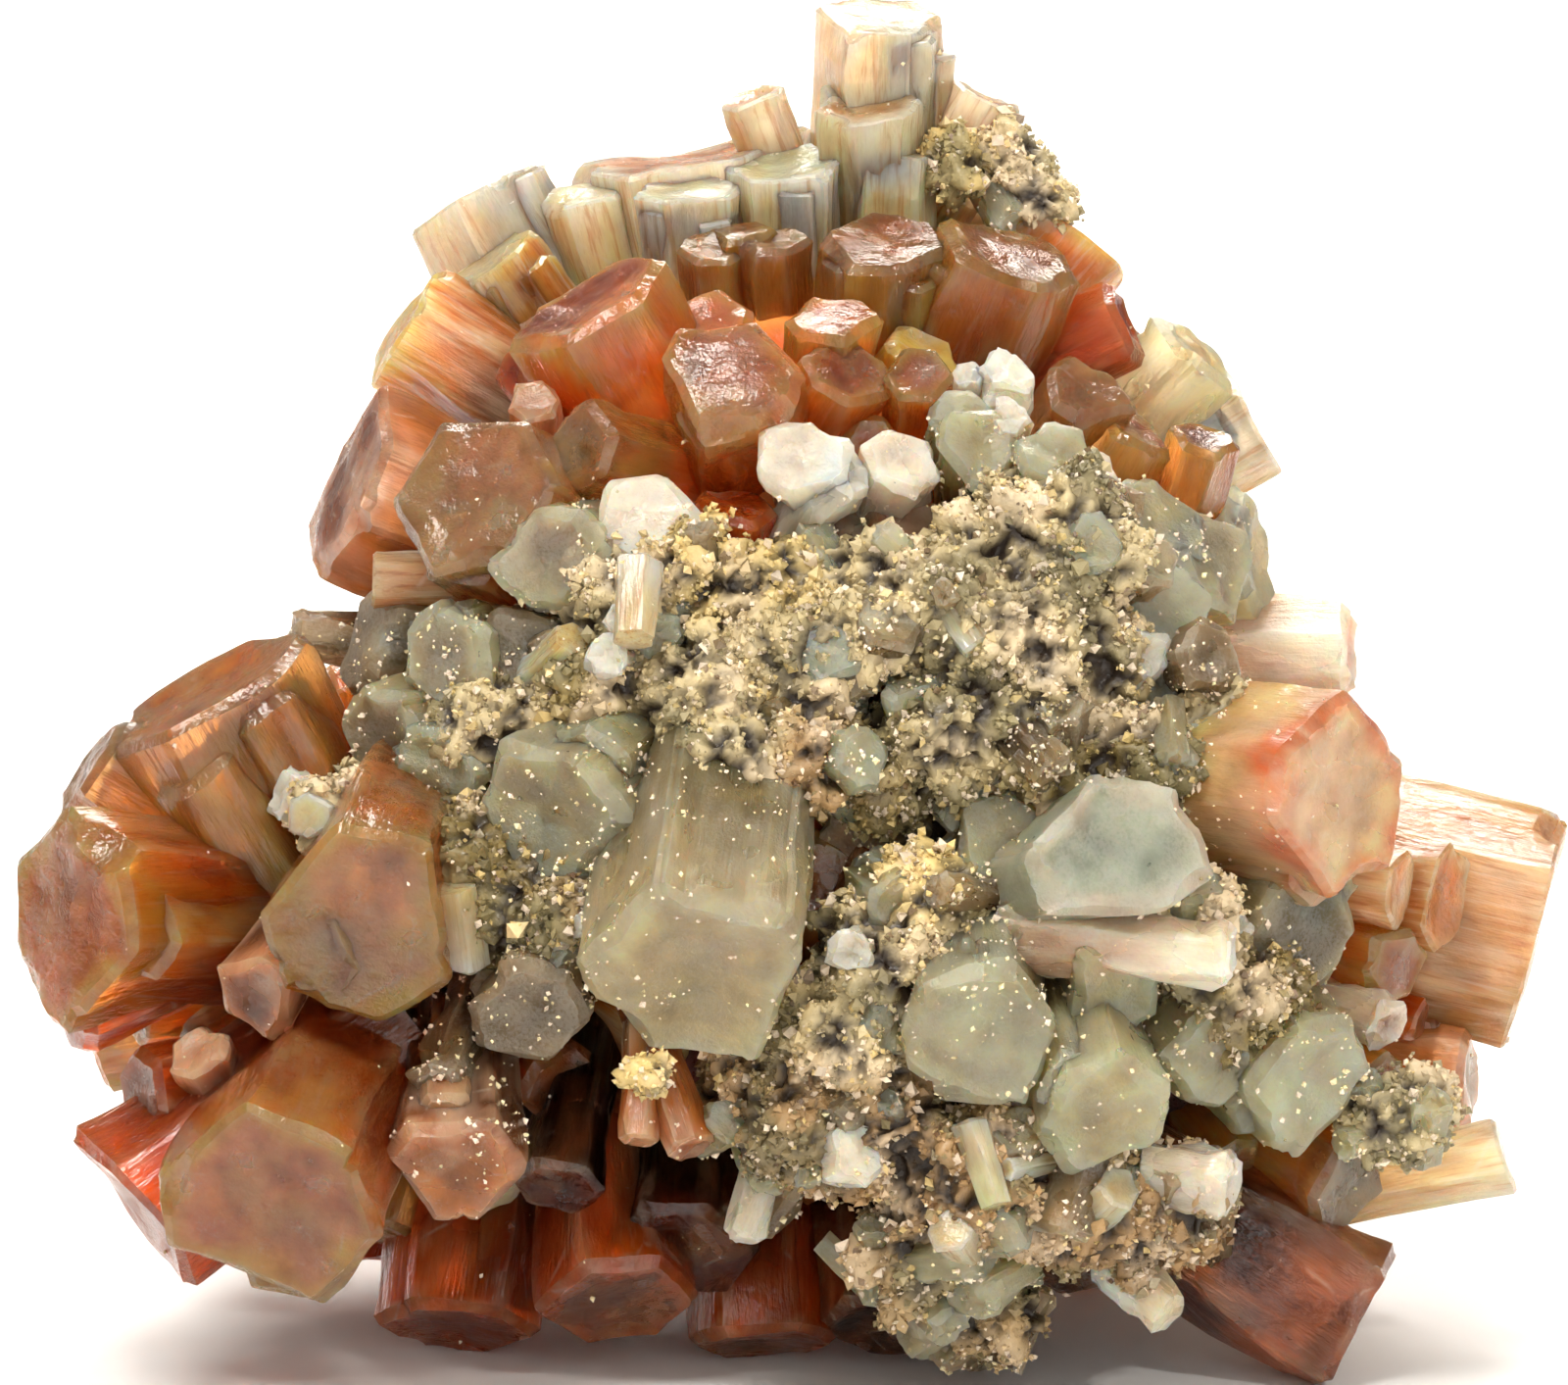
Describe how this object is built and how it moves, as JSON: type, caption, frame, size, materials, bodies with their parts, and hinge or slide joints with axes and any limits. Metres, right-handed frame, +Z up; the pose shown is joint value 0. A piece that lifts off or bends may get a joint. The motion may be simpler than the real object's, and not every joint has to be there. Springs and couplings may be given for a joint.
{
  "type": "aragonite sputnik cluster",
  "caption": "Cluster of six-sided amber, cream and grey-green aragonite crystals radiating in all directions, with granular crust at the front; stands on its crystal ends.",
  "frame": {"origin": "centre of the bounding box's underside, on the surface that the cluster stands on", "axes": "+Z up, +X to the right of the pictured front, the longest side; the pictured front faces -Y"},
  "size_m": [0.0467, 0.0359, 0.0399],
  "materials": {
    "amber_crystal": "translucent amber to rust, waxy gloss",
    "rose_crystal": "cloudy rose-brown, soft gloss",
    "cream_crystal": "translucent cream with fine lengthwise grooves",
    "sage_crystal": "cloudy grey-green, frosted",
    "white_crystal": "frosted white",
    "crust": "matte, granular, yellow-beige"
  },
  "bodies": {
    "root": {"aragonite_cluster": "amber_crystal"}
  },
  "joints": []
}
